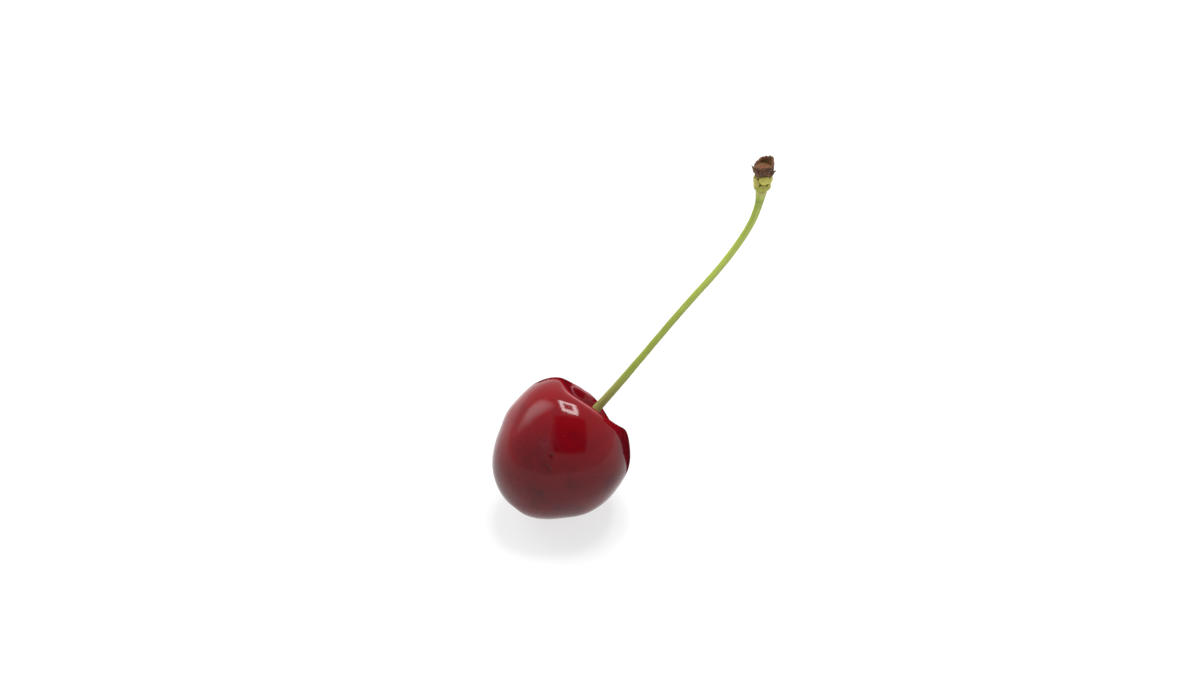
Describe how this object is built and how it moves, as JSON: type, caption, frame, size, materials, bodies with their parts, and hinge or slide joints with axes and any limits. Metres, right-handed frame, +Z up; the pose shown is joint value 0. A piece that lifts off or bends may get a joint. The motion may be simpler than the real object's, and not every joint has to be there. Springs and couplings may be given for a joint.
{
  "type": "cherry",
  "caption": "Ripe red sweet cherry lying on its side, with a long green stem that ends in a collar of bud scales and a cup of torn brown bark.",
  "frame": {"origin": "middle of the small flat spot under the fruit, on the surface that it rests on", "axes": "+Z is up, away from that surface; the fruit's crown and the stem lean towards +X and +Y, and the picture's camera looks along +Y and down"},
  "size_m": [0.0511, 0.0431, 0.0558],
  "materials": {
    "ripe_skin": "glossy waxy skin, deep bright red with fine pale speckles, a few darker bruises and a brighter red crown",
    "green_stalk": "satin yellow-green stalk, paler and finely wrinkled at the fruit, darker on its underside",
    "green_scale": "matte pale yellow-green scales with olive seams between them",
    "torn_bark": "dull torn bark, red-brown inside the cup, with lighter ridges and nearly black corners"
  },
  "bodies": {
    "root": {"fruit": "ripe_skin", "stem": "green_stalk", "bud_scales": "green_scale", "spur_bark": "torn_bark"}
  },
  "joints": []
}
